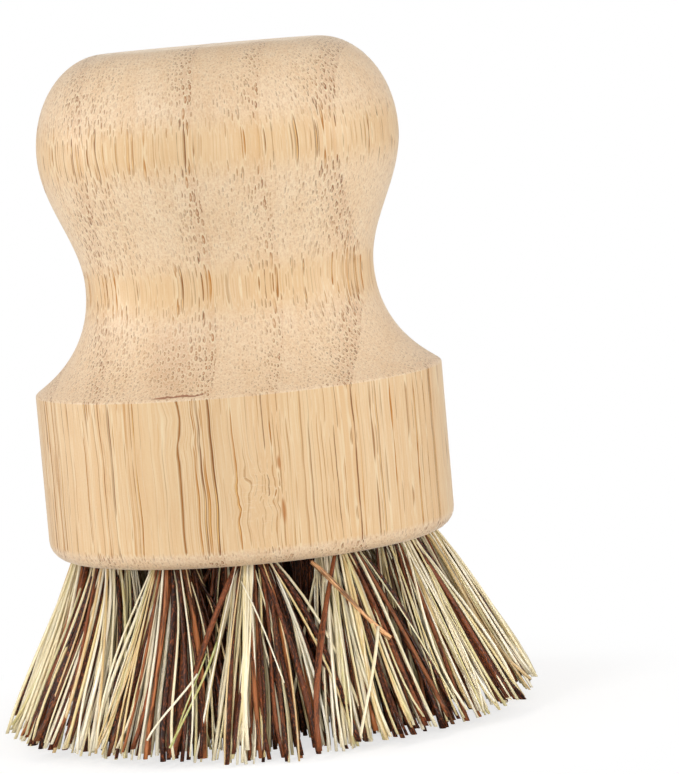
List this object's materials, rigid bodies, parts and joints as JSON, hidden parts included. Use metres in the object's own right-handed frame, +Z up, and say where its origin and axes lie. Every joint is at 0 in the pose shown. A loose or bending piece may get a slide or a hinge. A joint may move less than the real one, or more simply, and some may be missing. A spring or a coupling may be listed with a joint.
{
  "type": "potato scrubber brush",
  "caption": "Round palm-held scrubbing brush: a turned bamboo knob handle on a thick round block, with stiff plant-fibre tufts flaring from its drilled underside.",
  "frame": {"origin": "centre of the plane that the fibre tips stand on, on the brush's axis", "axes": "+Z up along the axis, from the fibre tips to the flat crown of the knob; +X and +Y lie in the plane of the tips"},
  "size_m": [0.0626, 0.0626, 0.08],
  "materials": {
    "bamboo": "fine-sanded laminated bamboo, satin, with brown streaks and dots of its bundles",
    "plant_fibre": "mixed stiff plant fibre, thin pale straw fibres among thicker red-brown ones, matt to satin",
    "staple_wire": "dull galvanised wire"
  },
  "bodies": {
    "root": {"bamboo_handle": "bamboo", "tuft_center": "plant_fibre", "tuft_inner_1": "plant_fibre", "tuft_inner_2": "plant_fibre", "tuft_inner_3": "plant_fibre", "tuft_inner_4": "plant_fibre", "tuft_inner_5": "plant_fibre", "tuft_inner_6": "plant_fibre", "tuft_outer_1": "plant_fibre", "tuft_outer_2": "plant_fibre", "tuft_outer_3": "plant_fibre", "tuft_outer_4": "plant_fibre", "tuft_outer_5": "plant_fibre", "tuft_outer_6": "plant_fibre", "tuft_outer_7": "plant_fibre", "tuft_outer_8": "plant_fibre", "tuft_outer_9": "plant_fibre", "tuft_outer_10": "plant_fibre", "tuft_outer_11": "plant_fibre", "tuft_outer_12": "plant_fibre", "staple_center": "staple_wire", "staple_inner_1": "staple_wire", "staple_inner_2": "staple_wire", "staple_inner_3": "staple_wire", "staple_inner_4": "staple_wire", "staple_inner_5": "staple_wire", "staple_inner_6": "staple_wire", "staple_outer_1": "staple_wire", "staple_outer_2": "staple_wire", "staple_outer_3": "staple_wire", "staple_outer_4": "staple_wire", "staple_outer_5": "staple_wire", "staple_outer_6": "staple_wire", "staple_outer_7": "staple_wire", "staple_outer_8": "staple_wire", "staple_outer_9": "staple_wire", "staple_outer_10": "staple_wire", "staple_outer_11": "staple_wire", "staple_outer_12": "staple_wire"}
  },
  "joints": []
}
